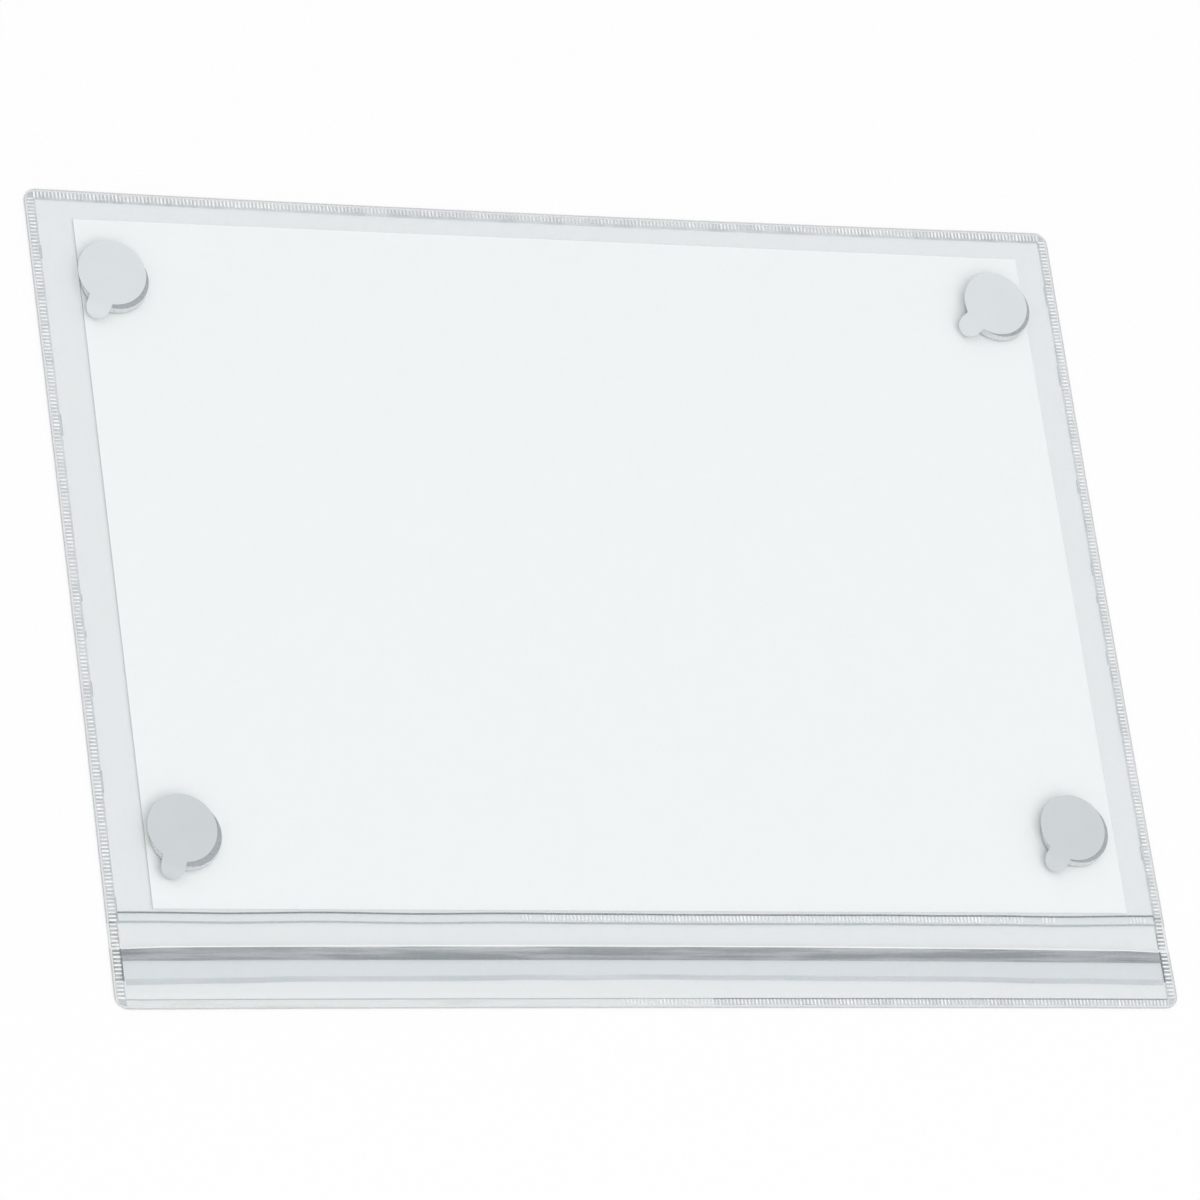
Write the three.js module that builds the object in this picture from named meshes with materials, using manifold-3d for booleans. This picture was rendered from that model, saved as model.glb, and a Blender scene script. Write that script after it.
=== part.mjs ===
import * as THREE from 'three';
import Module from 'manifold-3d';
import { mergeVertices } from 'three/addons/utils/BufferGeometryUtils.js';

// A clear self-adhesive display pocket that holds one landscape A4 sheet.
// It lies on its front film, with its back and the four adhesive pads upwards.
// Lengths are in millimetres. X runs along the width, Y from the closing edge to the
// welded top edge, and Z up. The origin is the centre of the outline, on the surface
// that the pocket lies on.

// The paper sheet and the room around it
const sheetWidth = 297;
const sheetHeight = 210;
const sheetThickness = 0.1;
const roomLeft = 10.6;
const roomRight = 8.3;
const roomTop = 5.8;
const roomBelow = 0.8;
const roomOver = 0.1;

// The films and their heat welds
const filmThickness = 0.25;
const sideWeld = 3.3;
const topWeld = 3.5;
const bottomWeld = 2.9;
const seamWidth = 3.2;
const weldSlope = 1.2;
const cornerRadius = 4;

// The closing edge: a flap that tucks in behind a strip
const openBand = 7.2;
const tuckDepth = 9.8;
const slideClearance = 0.1;
const flapEndClearance = 0.3;
const stripHeight = 18.2;
const lipHeight = 4;
const lipLift = 1.1;
const lipRunIn = 12;

// The foam pads and their release liners
const padDiameter = 20.2;
const padThickness = 3;
const linerDiameter = 20.2;
const linerThickness = 0.15;
const tabWidth = 7;
const tabReach = 11.5;
const tabDrop = 2;
const tabBendClearance = 0.1;

// Each pad's centre is measured in from the nearer side edge, and from the top edge or
// up from the seam. Its liner was laid on by hand, a little off centre, at its own angle.
const pads = [
  { place: 'top_left', side: -1, fromSide: 23.9, fromTop: 29.0, liner: [-1.1, 1.6], tabDegrees: 244 },
  { place: 'top_right', side: 1, fromSide: 21.2, fromTop: 27.1, liner: [-1.2, 1.1], tabDegrees: 218 },
  { place: 'bottom_left', side: -1, fromSide: 25.5, aboveSeam: 21.8, liner: [-1.4, 1.5], tabDegrees: 251 },
  { place: 'bottom_right', side: 1, fromSide: 25.0, aboveSeam: 25.0, liner: [-1.2, 0.9], tabDegrees: 236 },
];

// How far a piece is made over size before it is cut to its outline
const cutAllowance = 1;
const bendAllowance = 1.1;

// How finely curves are cut into flats
const cornerSegments = 6;
const roundSegments = 48;
const slopeSegments = 4;
const lipSegments = 5;
const bendSegments = 6;

// Sizes that follow from those above
const pocketWidth = 2 * sideWeld + roomLeft + sheetWidth + roomRight;
const pocketHeight = topWeld + roomTop + sheetHeight + roomBelow + seamWidth + openBand + stripHeight;
const rightEdge = pocketWidth / 2;
const topEdge = pocketHeight / 2;
const bottomEdge = -topEdge;
const insideRight = rightEdge - sideWeld;
const insideTop = topEdge - topWeld;
const insideBottom = bottomEdge + bottomWeld;
const sheetLeft = -insideRight + roomLeft;
const sheetBottom = insideTop - roomTop - sheetHeight;
const seamTop = sheetBottom - roomBelow;
const seamBottom = seamTop - seamWidth;
const lipEdge = bottomEdge + stripHeight;
const flapEdge = lipEdge - tuckDepth;
const flapEnd = insideRight - weldSlope - flapEndClearance;

// Heights of the layers, from the surface up
const frontTop = filmThickness;
const sheetTop = frontTop + sheetThickness;
const backUnderside = sheetTop + roomOver;
const backTop = backUnderside + filmThickness;
const tuckedUnderside = frontTop + slideClearance;
const stripUnderside = tuckedUnderside + filmThickness + slideClearance;
const lipTop = stripUnderside + filmThickness + lipLift;
const padTop = backTop + padThickness;

const wasm = await Module();
wasm.setup();

// A closed mesh as a solid that can be cut
function solidFrom(geometry) {
  const bare = new THREE.BufferGeometry();
  bare.setAttribute('position', geometry.getAttribute('position'));
  bare.setIndex(geometry.getIndex());
  const merged = mergeVertices(bare, 1e-4);
  return new wasm.Manifold(
    new wasm.Mesh({
      numProp: 3,
      vertProperties: new Float32Array(merged.getAttribute('position').array),
      triVerts: new Uint32Array(merged.getIndex().array),
    }),
  );
}

// A cut solid as a mesh's geometry again
function geometryFrom(solid) {
  const mesh = solid.getMesh();
  const geometry = new THREE.BufferGeometry();
  geometry.setAttribute('position', new THREE.BufferAttribute(mesh.vertProperties, 3));
  geometry.setIndex(new THREE.BufferAttribute(mesh.triVerts, 1));
  geometry.computeVertexNormals();
  return geometry;
}

// What two closed meshes have in common
function common(first, second) {
  return geometryFrom(solidFrom(first).intersect(solidFrom(second)));
}

// From 0 up to 1 along a soft step
function softStep(share) {
  const held = Math.min(Math.max(share, 0), 1);
  return held * held * (3 - 2 * held);
}

// Evenly spaced places from one to another, both included
function evenly(from, to, segments) {
  return Array.from({ length: segments + 1 }, (_, i) => from + ((to - from) * i) / segments);
}

// A film of even thickness whose underside has the given height at each grid place
function filmGeometry(xs, ys, underside) {
  const positions = [];
  for (const lift of [0, filmThickness]) {
    for (const y of ys) {
      for (const x of xs) {
        positions.push(x, y, underside(x, y) + lift);
      }
    }
  }
  const layer = xs.length * ys.length;
  const at = (i, j) => j * xs.length + i;
  const triangles = [];
  const addQuad = (a, b, c, d) => triangles.push(a, b, c, a, c, d);
  for (let j = 0; j + 1 < ys.length; j += 1) {
    for (let i = 0; i + 1 < xs.length; i += 1) {
      const [a, b, c, d] = [at(i, j), at(i + 1, j), at(i + 1, j + 1), at(i, j + 1)];
      addQuad(d, c, b, a);
      addQuad(a + layer, b + layer, c + layer, d + layer);
    }
  }
  const rim = [];
  const lastI = xs.length - 1;
  const lastJ = ys.length - 1;
  xs.slice(1).forEach((_, i) => rim.push(at(i, 0)));
  ys.slice(1).forEach((_, j) => rim.push(at(lastI, j)));
  xs.slice(1).forEach((_, i) => rim.push(at(lastI - i, lastJ)));
  ys.slice(1).forEach((_, j) => rim.push(at(0, lastJ - j)));
  rim.forEach((a, k) => {
    const b = rim[(k + 1) % rim.length];
    addQuad(a, b, b + layer, a + layer);
  });
  const geometry = new THREE.BufferGeometry();
  geometry.setAttribute('position', new THREE.Float32BufferAttribute(positions, 3));
  geometry.setIndex(triangles);
  geometry.computeVertexNormals();
  return geometry;
}

// The pocket's outline with its rounded corners
function outlineShape() {
  const shape = new THREE.Shape();
  const insetX = rightEdge - cornerRadius;
  const insetY = topEdge - cornerRadius;
  shape.absarc(insetX, insetY, cornerRadius, 0, Math.PI / 2);
  shape.absarc(-insetX, insetY, cornerRadius, Math.PI / 2, Math.PI);
  shape.absarc(-insetX, -insetY, cornerRadius, Math.PI, 1.5 * Math.PI);
  shape.absarc(insetX, -insetY, cornerRadius, 1.5 * Math.PI, 2 * Math.PI);
  shape.closePath();
  return shape;
}

// A flat prism of a shape, from height zero up
function prism(shape, height, curveSegments) {
  return new THREE.ExtrudeGeometry(shape, { depth: height, bevelEnabled: false, curveSegments });
}

// A film that was made a little over size, cut to the outline
function cutToOutline(film) {
  return common(film, prism(outlineShape(), lipTop + cutAllowance, cornerSegments));
}

// Grid places across the whole width, from those of its right side
function bothSides(rightSide) {
  return [...rightSide.map((x) => -x).reverse(), ...rightSide];
}

function frontFilm() {
  return prism(outlineShape(), filmThickness, cornerSegments);
}

function backFilm() {
  const slopeAcross = evenly(insideRight - weldSlope, insideRight, slopeSegments);
  const xs = bothSides([...slopeAcross, rightEdge + cutAllowance]);
  const slopeUp = evenly(insideTop - weldSlope, insideTop, slopeSegments);
  const ys = [seamBottom, ...slopeUp, topEdge + cutAllowance];
  const underside = (x, y) => {
    const besideWeld = softStep((insideRight - Math.abs(x)) / weldSlope);
    const belowWeld = softStep((insideTop - y) / weldSlope);
    return frontTop + (backUnderside - frontTop) * besideWeld * belowWeld;
  };
  return cutToOutline(filmGeometry(xs, ys, underside));
}

function closureFlap() {
  const ys = [flapEdge, ...evenly(lipEdge, seamBottom, 2 * slopeSegments), seamTop];
  const underside = (x, y) => {
    const raised = softStep((y - lipEdge) / (seamBottom - lipEdge));
    return tuckedUnderside + (backTop - tuckedUnderside) * raised;
  };
  return filmGeometry([-flapEnd, flapEnd], ys, underside);
}

function bottomStrip() {
  const curlStart = lipEdge - lipHeight;
  const slopeUp = evenly(insideRight - weldSlope, insideRight, slopeSegments);
  const runIn = evenly(insideRight - lipRunIn, insideRight - weldSlope, slopeSegments).slice(0, -1);
  const xs = bothSides([...runIn, ...slopeUp, rightEdge + cutAllowance]);
  const ys = [
    bottomEdge - cutAllowance,
    ...evenly(insideBottom, insideBottom + weldSlope, slopeSegments),
    ...evenly(curlStart, lipEdge, lipSegments),
  ];
  const underside = (x, y) => {
    const inside = insideRight - Math.abs(x);
    const raised = softStep(inside / weldSlope) * softStep((y - insideBottom) / weldSlope);
    const curled = softStep(inside / lipRunIn) * Math.max((y - curlStart) / lipHeight, 0) ** 2;
    return frontTop + (stripUnderside - frontTop) * raised + lipLift * curled;
  };
  return cutToOutline(filmGeometry(xs, ys, underside));
}

function foamPad() {
  const shape = new THREE.Shape().absarc(0, 0, padDiameter / 2, 0, 2 * Math.PI);
  return prism(shape, padThickness, roundSegments / 2);
}

// The liner as seen from above, with its tab along X
function linerOutline() {
  const radius = linerDiameter / 2;
  const tabRadius = tabWidth / 2;
  const meets = Math.asin(tabRadius / radius);
  const shape = new THREE.Shape();
  shape.absarc(0, 0, radius, meets, 2 * Math.PI - meets);
  shape.absarc(tabReach, 0, tabRadius, -Math.PI / 2, Math.PI / 2);
  shape.closePath();
  return shape;
}

// A strip of liner seen from its side: flat over the pad, then bent down past its edge
function bentLiner(bendStart) {
  const run = tabReach + tabWidth / 2 - bendStart;
  const bendAngle = 2 * Math.atan(tabDrop / run);
  const bendRadius = run / Math.sin(bendAngle);
  const arcPoints = (radius) =>
    evenly(0, bendAngle * bendAllowance, bendSegments).map((angle) => [
      bendStart + radius * Math.sin(angle),
      radius * Math.cos(angle) - bendRadius,
    ]);
  const farSide = -linerDiameter;
  const under = [[farSide, 0], ...arcPoints(bendRadius)];
  const over = [[farSide, linerThickness], ...arcPoints(bendRadius + linerThickness)];
  const profile = new THREE.Shape([...under, ...over.reverse()].map(([x, y]) => new THREE.Vector2(x, y)));
  const strip = prism(profile, 2 * linerDiameter, 1);
  strip.translate(0, 0, -linerDiameter);
  strip.rotateX(Math.PI / 2);
  return strip;
}

// The liner, cut to its outline from a strip that is already bent
function liner(bendStart) {
  const cutter = prism(linerOutline(), 2 * padThickness, roundSegments / 2);
  cutter.translate(0, 0, -padThickness);
  return common(bentLiner(bendStart), cutter);
}

const clearFilm = new THREE.MeshStandardMaterial({
  name: 'clear_film',
  color: 0xdfe5e8,
  roughness: 0.15,
  metalness: 0,
  transparent: true,
  opacity: 0.25,
});
const paper = new THREE.MeshStandardMaterial({
  name: 'paper',
  color: 0xf4f4f1,
  roughness: 0.9,
  metalness: 0,
});
const foam = new THREE.MeshStandardMaterial({
  name: 'foam',
  color: 0xb4bbbf,
  roughness: 0.85,
  metalness: 0,
});
const linerFilm = new THREE.MeshStandardMaterial({
  name: 'liner',
  color: 0xd3d9db,
  roughness: 0.45,
  metalness: 0,
});

const pocket = new THREE.Group();

function addPiece(parent, name, geometry, material) {
  const mesh = new THREE.Mesh(geometry, material.clone());
  mesh.name = name;
  parent.add(mesh);
  return mesh;
}

addPiece(pocket, 'front_film', frontFilm(), clearFilm);
addPiece(pocket, 'back_film', backFilm(), clearFilm);
addPiece(pocket, 'closure_flap', closureFlap(), clearFilm);
addPiece(pocket, 'bottom_strip', bottomStrip(), clearFilm);

const sheet = new THREE.BoxGeometry(sheetWidth, sheetHeight, sheetThickness);
const sheetMesh = addPiece(pocket, 'insert_sheet', sheet, paper);
sheetMesh.position.set(
  sheetLeft + sheetWidth / 2,
  sheetBottom + sheetHeight / 2,
  frontTop + sheetThickness / 2,
);

for (const pad of pads) {
  const padGroup = new THREE.Group();
  const up = pad.aboveSeam === undefined ? topEdge - pad.fromTop : seamTop + pad.aboveSeam;
  padGroup.position.set(pad.side * (rightEdge - pad.fromSide), up, 0);
  pocket.add(padGroup);
  const foamMesh = addPiece(padGroup, `foam_pad_${pad.place}`, foamPad(), foam);
  foamMesh.position.z = backTop;

  // The bend starts just past where the pad reaches furthest under the tab
  const tabAngle = THREE.MathUtils.degToRad(pad.tabDegrees);
  const alongTab = new THREE.Vector2(Math.cos(tabAngle), Math.sin(tabAngle));
  const offCentre = new THREE.Vector2(...pad.liner);
  const bendStart = padDiameter / 2 - offCentre.dot(alongTab) + tabBendClearance;
  const linerMesh = addPiece(padGroup, `liner_${pad.place}`, liner(bendStart), linerFilm);
  linerMesh.position.set(offCentre.x, offCentre.y, padTop);
  linerMesh.rotation.z = tabAngle;
}

export default pocket;
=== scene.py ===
# %% [markdown]
# A self-adhesive display pocket
#
# The pocket is two clear PVC films, heat-welded round their edges, with a white sheet of
# A4 paper between them. It lies on its front, so we look at its back: four round foam
# pads under release liners, and at the bottom a flap that tucks in behind a strip.
# Nothing on it is thick. What the eye reads is how much film it looks through, where
# the film ends and where it bends, so most of this lesson is about edges and welds.

# %% Load the frame
import math
import random
import bpy
import bmesh
from mathutils import Matrix, Vector, noise


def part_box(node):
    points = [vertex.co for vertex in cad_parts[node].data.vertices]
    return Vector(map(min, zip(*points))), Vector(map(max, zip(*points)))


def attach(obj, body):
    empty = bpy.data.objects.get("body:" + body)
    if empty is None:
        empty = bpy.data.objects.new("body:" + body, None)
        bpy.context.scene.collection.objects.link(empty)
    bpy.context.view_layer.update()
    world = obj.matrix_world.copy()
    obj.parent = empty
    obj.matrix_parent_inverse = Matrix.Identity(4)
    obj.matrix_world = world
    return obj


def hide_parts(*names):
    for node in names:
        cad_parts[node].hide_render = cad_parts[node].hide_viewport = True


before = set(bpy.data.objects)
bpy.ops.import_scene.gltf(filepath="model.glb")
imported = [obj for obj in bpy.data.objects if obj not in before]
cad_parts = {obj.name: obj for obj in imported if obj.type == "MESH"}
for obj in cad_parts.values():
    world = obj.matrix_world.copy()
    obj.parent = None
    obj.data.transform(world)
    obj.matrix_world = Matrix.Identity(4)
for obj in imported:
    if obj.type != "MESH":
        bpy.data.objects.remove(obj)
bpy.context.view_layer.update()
print("pieces in the frame:", len(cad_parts))

# %% [markdown]
# Sizes
#
# The measured model gives each piece's box in metres. Films are easier to think about in
# millimetres, so everything below is in millimetres, and only the function that makes a
# mesh turns them into metres. What a box can't tell, such as how wide a weld is, is a
# named value here.

# %% Sizes from the frame
MM = 0.001


def box_mm(node_name):
    """The lowest and highest corner of a piece of the frame, in millimetres."""
    low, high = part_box(node_name)
    return low / MM, high / MM


front_low, front_high = box_mm("front_film")
back_low, back_high = box_mm("back_film")
flap_low, flap_high = box_mm("closure_flap")
strip_high = box_mm("bottom_strip")[1]
sheet_low, sheet_high = box_mm("insert_sheet")

right_edge = front_high.x
top_edge = front_high.y
film_thickness = front_high.z - front_low.z
seam_bottom = back_low.y
seam_top = flap_high.y
flap_edge = flap_low.y
flap_end = flap_high.x
lip_edge = strip_high.y
print(f"outline {2 * right_edge:.1f} by {2 * top_edge:.1f} mm, film {film_thickness:.2f} mm")

# %% Sizes of the welds, the lip and the corners
side_weld = 3.3
top_weld = 3.5
bottom_weld = 2.9
weld_slope = 1.2
corner_radius = 4
lip_height = 4
lip_run_in = 12
layer_gap = 0.01

inside_right = right_edge - side_weld
inside_top = top_edge - top_weld
inside_bottom = -top_edge + bottom_weld
curl_start = lip_edge - lip_height

# %% [markdown]
# Nodes in few words
#
# A material is a small graph of nodes. One helper adds a node, sets its settings and
# joins its sockets, and one turns a colour written as on a web page into the linear
# light that Cycles works in. With these two, a material reads like a recipe.

# %% Helpers for materials


def colour(code):
    """A colour written as sRGB hex, as linear light with full alpha."""
    parts = [int(code[i:i + 2], 16) / 255 for i in (1, 3, 5)]
    return (*[p / 12.92 if p <= 0.04045 else ((p + 0.055) / 1.055) ** 2.4 for p in parts], 1)


def node(tree, kind, inputs=None, **settings):
    """Adds one node; inputs holds a value, or another node's output, for each socket."""
    made = tree.nodes.new(kind)
    for name, value in settings.items():
        setattr(made, name, value)
    for socket, value in (inputs or {}).items():
        if isinstance(value, bpy.types.NodeSocket):
            tree.links.new(value, made.inputs[socket])
        else:
            made.inputs[socket].default_value = value
    return made


def new_material(name):
    """An empty material: its own node tree and nothing in it."""
    material = bpy.data.materials.new(name)
    material.use_nodes = True
    material.node_tree.nodes.clear()
    return material, material.node_tree


def place_in(tree, unit, stretch=(1, 1, 1)):
    """The place on the object, measured in a unit of so many millimetres, as texture coordinates."""
    where = node(tree, "ShaderNodeTexCoord")
    scale = [1 / (unit * MM * s) for s in stretch]
    return node(tree, "ShaderNodeMapping", {"Vector": where.outputs["Object"], "Scale": scale}).outputs[0]


# %% [markdown]
# Calendered PVC film
#
# The films are soft PVC, squeezed out between polished rollers (calendered). That leaves
# both faces glossy and nearly flat, with a faint waviness, and the film is clear with a
# cool tint. Glass or refraction would do it too, but a film a quarter of a millimetre
# thick bends no light to speak of, and refraction would cost noise and the shadows
# beneath. So the shader lets light straight through with a tint, adds a trace of haze,
# and mixes in gloss by Fresnel for an index of 1.53, where the light enters the film.
# Shadow rays skip the gloss: they only ask how much light comes through.

# %% A material for PVC
pvc_ior = 1.53
wave_size = 24.0  # mm from one faint wave of the surface to the next
wave_depth = 0.02


def pvc(name, passes, body="#E8ECEE", haze=0.03, roughness=0.1, fleck=None):
    """PVC that passes a share of white light through each film, with a hazy body and gloss.

    fleck = (haze where flecked, size in mm, stretch of the pattern, from, to)."""
    material, tree = new_material(name)
    through = [math.sqrt(c) for c in colour(passes)[:3]] + [1]
    clear = node(tree, "ShaderNodeBsdfTransparent", {"Color": through})
    hazy = node(tree, "ShaderNodeBsdfDiffuse", {"Color": colour(body)})
    amount = haze
    if fleck:
        flecked, size, stretch, low, high = fleck
        spots = node(tree, "ShaderNodeTexNoise", {"Vector": place_in(tree, size, stretch),
                                                  "Scale": 1.0, "Detail": 2.0})
        amount = node(tree, "ShaderNodeMapRange", {"Value": spots.outputs["Fac"], "From Min": low,
                                                   "From Max": high, "To Min": haze,
                                                   "To Max": flecked}).outputs[0]
    film = node(tree, "ShaderNodeMixShader", {0: amount, 1: clear.outputs[0], 2: hazy.outputs[0]})
    mirror = node(tree, "ShaderNodeFresnel", {"IOR": pvc_ior})
    side = node(tree, "ShaderNodeNewGeometry")
    path = node(tree, "ShaderNodeLightPath")
    skipped = node(tree, "ShaderNodeMath", {0: side.outputs["Backfacing"],
                                            1: path.outputs["Is Shadow Ray"]}, operation="MAXIMUM")
    entering = node(tree, "ShaderNodeMath", {0: 1.0, 1: skipped.outputs[0]}, operation="SUBTRACT")
    share = node(tree, "ShaderNodeMath", {0: mirror.outputs[0], 1: entering.outputs[0]},
                 operation="MULTIPLY")
    waves = node(tree, "ShaderNodeTexNoise", {"Vector": place_in(tree, wave_size), "Scale": 1.0,
                                              "Detail": 0.0})
    relief = node(tree, "ShaderNodeBump", {"Height": waves.outputs["Fac"], "Distance": wave_depth * MM})
    gloss = node(tree, "ShaderNodeBsdfGlossy", {"Roughness": roughness, "Normal": relief.outputs[0]})
    whole = node(tree, "ShaderNodeMixShader", {0: share.outputs[0], 1: film.outputs[0],
                                               2: gloss.outputs[0]})
    node(tree, "ShaderNodeOutputMaterial", {"Surface": whole.outputs[0]})
    return material


back_stock = pvc("calendered_pvc_film", passes="#FEFFFF", haze=0.02, roughness=0.25)
front_stock = pvc("tinted_calendered_pvc_film", passes="#F4F6F7")
# The flap is slightly greyer where it lies tucked behind the strip.
tucked_greyer_stock = pvc("greyer_pvc_film_tucked_part", passes="#F8F9FB", haze=0.03)
# Painted shade: a darker band along the flap's free edge.
free_edge_painted_shade = pvc("pvc_film_free_edge_painted_shade", passes="#F2F4F6", body="#BFC5C8", haze=0.06,
                 fleck=(0.16, 5.0, (8, 1, 1), 0.40, 0.62))

# %% [markdown]
# The other faces of the same plastic
#
# Heat and knives change PVC. In a weld it has been pressed between hot jaws: denser,
# greyer, uneven, and the more so the harder they pressed. The ribs that the jaw leaves
# stand up, a little whitened, and their white also stands in as painted glints. The cut
# edges get painted shade as fine dark lines, and a painted highlight as a bright one at
# the lip. Round the outline a soft grey is painted as shade. The lip of the strip has
# curled, and its dark band is painted shade, much the darkest part.

# %% Welds, ribs, cut edges and the curled lip
pressed_weld = pvc("hot_pressed_pvc_weld", passes="#F6F7F8", body="#B2B8BB", haze=0.06, roughness=0.2,
                   fleck=(0.16, 7.0, (1, 1, 1), 0.42, 0.66))
smooth_weld = pvc("smooth_pressed_pvc_weld", passes="#FDFEFD", body="#E6E8E6", haze=0.05, roughness=0.2,
                  fleck=(0.30, 2.5, (14, 1, 1), 0.46, 0.66))
hard_weld = pvc("hard_pressed_pvc_weld", passes="#F3F5F6", body="#A9B0B3", haze=0.07, roughness=0.2,
                fleck=(0.18, 5.0, (1, 1, 1), 0.42, 0.66))
deep_weld = pvc("pvc_weld_over_four_films", passes="#E9EBEC", body="#879094", haze=0.09, roughness=0.2,
                fleck=(0.30, 2.5, (1, 1, 1), 0.42, 0.62))
# Painted shade: a darker copy of the cut-edge finish, for the fine dark lines at the flap's welded edge,
# at the lip's ends and along the bottom weld's border.
edge_painted_shade = pvc("cut_pvc_edge_painted_shade", passes="#B9C0C3", body="#798286", haze=0.25)
# Painted shade, softer: the back film's edge at the seam, creases by the side welds and the bottom weld's
# border.
soft_edge_painted_shade = pvc("cut_pvc_edge_under_film_painted_shade", passes="#DDE3E5", body="#9AA3A7", haze=0.12)
# Painted shade: a soft grey round the outline and on the films' rims.
outline_painted_shade = pvc("outer_pvc_edge_painted_shade", passes="#F1F2F2", body="#B9BDBE", haze=0.07)
# Painted highlight: a white copy of the cut-edge finish, along the lip's free edge.
edge_painted_highlight = pvc("cut_pvc_edge_painted_highlight", passes="#FFFFFF", body="#FFFFFF", haze=0.7)
# Painted shade: the dark band in the curled lip.
curled_lip_painted_shade = pvc("curled_pvc_lip_painted_shade", passes="#E8E9EA", body="#80888B", haze=0.10, roughness=0.15,
                  fleck=(0.36, 1.4, (22, 1, 1), 0.38, 0.60))
# The ribs' white is partly the whitening of pressed PVC and partly painted glints.
rib_white_and_glint = pvc("embossed_weld_rib_white_and_glint", passes="#FFFFFF", body="#FFFFFF", haze=0.45, roughness=0.15,
              fleck=(0.95, 4.0, (1, 1, 1), 0.28, 0.52))
mild_rib_white_and_glint = pvc("half_pressed_weld_rib_white_and_glint", passes="#FFFFFF", body="#FFFFFF", haze=0.38, roughness=0.2,
               fleck=(0.95, 4.0, (1, 1, 1), 0.30, 0.58))
faint_rib_white_and_glint = pvc("faint_weld_rib_white_and_glint", passes="#FFFFFF", body="#FFFFFF", haze=0.15, roughness=0.2,
                fleck=(0.60, 6.0, (1, 1, 1), 0.32, 0.62))

# %% [markdown]
# Meshes from points
#
# Every piece here is thin and closed: points, faces, and for each face the finish it
# has. This helper turns millimetres into metres, gives the faces their finishes, lets
# the piece ride on the body and stand for its solid in the frame. Edges that turn by
# more than 40 degrees stay sharp, and the rest is shaded smooth.

# %% A helper that makes a piece
sharp_angle = math.radians(40)
merge_distance = 1e-7


def make_piece(name, points, faces, marks, finishes, material_slot):
    """A mesh object from points in millimetres; marks says which finish each face has."""
    mesh = bpy.data.meshes.new(name)
    mesh.from_pydata([Vector(p) * MM for p in points], [], faces)
    for finish in finishes:
        mesh.materials.append(finish)
    mesh.polygons.foreach_set("material_index", marks)
    mesh.polygons.foreach_set("use_smooth", [True] * len(faces))
    shaped = bmesh.new()
    shaped.from_mesh(mesh)
    bmesh.ops.remove_doubles(shaped, verts=shaped.verts, dist=merge_distance)
    bmesh.ops.recalc_face_normals(shaped, faces=shaped.faces)
    for edge in shaped.edges:
        if len(edge.link_faces) == 2 and edge.calc_face_angle() > sharp_angle:
            edge.smooth = False
    open_edges = sum(1 for edge in shaped.edges if len(edge.link_faces) != 2)
    shaped.to_mesh(mesh)
    shaped.free()
    piece = bpy.data.objects.new("shown_" + name, mesh)
    bpy.context.scene.collection.objects.link(piece)
    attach(piece, "root")
    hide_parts(name)
    print(f"{name}: {len(mesh.polygons)} faces, {open_edges} open edges")
    return piece


# %% [markdown]
# How the pocket lies
#
# The outline isn't a perfect rectangle. Its corners are rounded, and welding shrinks
# film a little, so each edge is drawn in by half a millimetre or so at its middle. One
# function moves every film, rib and weld the same way, so they stay together. Each use
# of the noise reads another stretch of it, so no two edges ripple alike.

# %% The outline as it lies
edge_draw = {"left": 0.4, "right": 0.5, "bottom": 0.35, "top": 0.9}
draw_reach = 60
edge_ripple = 0.06
ripple_length = 12


def soft_step(share):
    """From 0 up to 1 along a soft step."""
    held = min(max(share, 0), 1)
    return held * held * (3 - 2 * held)


def as_it_lies(x, y):
    """Where a point of the flat outline lies: corners rounded, edges drawn in and rippled."""
    corner_x = (abs(x) - right_edge + corner_radius) / corner_radius
    corner_y = (abs(y) - top_edge + corner_radius) / corner_radius
    px, py = x, y
    if corner_x > 0 and corner_y > 0:
        round_x = corner_x * math.sqrt(1 - corner_y ** 2 / 2)
        round_y = corner_y * math.sqrt(1 - corner_x ** 2 / 2)
        px = math.copysign(right_edge - corner_radius + corner_radius * round_x, x)
        py = math.copysign(top_edge - corner_radius + corner_radius * round_y, y)
    near_side = max(0, (abs(x) - right_edge + draw_reach) / draw_reach) ** 2
    near_end = max(0, (abs(y) - top_edge + draw_reach) / draw_reach) ** 2
    side_draw = edge_draw["right" if x > 0 else "left"] * (1 - (y / top_edge) ** 2)
    end_draw = edge_draw["top" if y > 0 else "bottom"] * (1 - (x / right_edge) ** 2)
    ripple_x = edge_ripple * (1 + noise.noise(Vector((math.copysign(7, x), y / ripple_length, 0))))
    ripple_y = edge_ripple * (1 + noise.noise(Vector((x / ripple_length, math.copysign(5, y), 3))))
    px -= math.copysign(near_side * (side_draw + ripple_x * near_side), x)
    py -= math.copysign(near_end * (end_draw + ripple_y * near_end), y)
    return px, py


# %% [markdown]
# A film as a closed slab
#
# A film is a grid of points, once for its underside and once for its top, closed by a
# narrow rim. The grid has a line wherever something happens: the cut edge, the weld's
# border, the slope where the film lifts over the paper, the corner's rounding. Between
# them a few lines are enough. The height of the underside is a formula for each film.

# %% Helpers for films
CLEAR, TINTED, TUCKED_GREYER, FREE_EDGE_SHADE, CURL_SHADE, WELD, SMOOTH, HARD, DEEP = range(9)
DARK_SHADE, SOFT_SHADE, OUTLINE_SHADE, EDGE_HIGHLIGHT, RIB_WHITE_GLINT, MILD_WHITE_GLINT, FAINT_WHITE_GLINT = range(9, 16)
pvc_finishes = [back_stock, front_stock, tucked_greyer_stock, free_edge_painted_shade, curled_lip_painted_shade, pressed_weld, smooth_weld,
                hard_weld, deep_weld, edge_painted_shade, soft_edge_painted_shade, outline_painted_shade, edge_painted_highlight, rib_white_and_glint, mild_rib_white_and_glint,
                faint_rib_white_and_glint]

edge_line = 0.35
smooth_margin = 0.8
crease_shade_line = 0.25
corner_steps = 5
slope_steps = 4
panel_step = 8
crease_step = 2.5
closest_lines = 0.01


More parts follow.
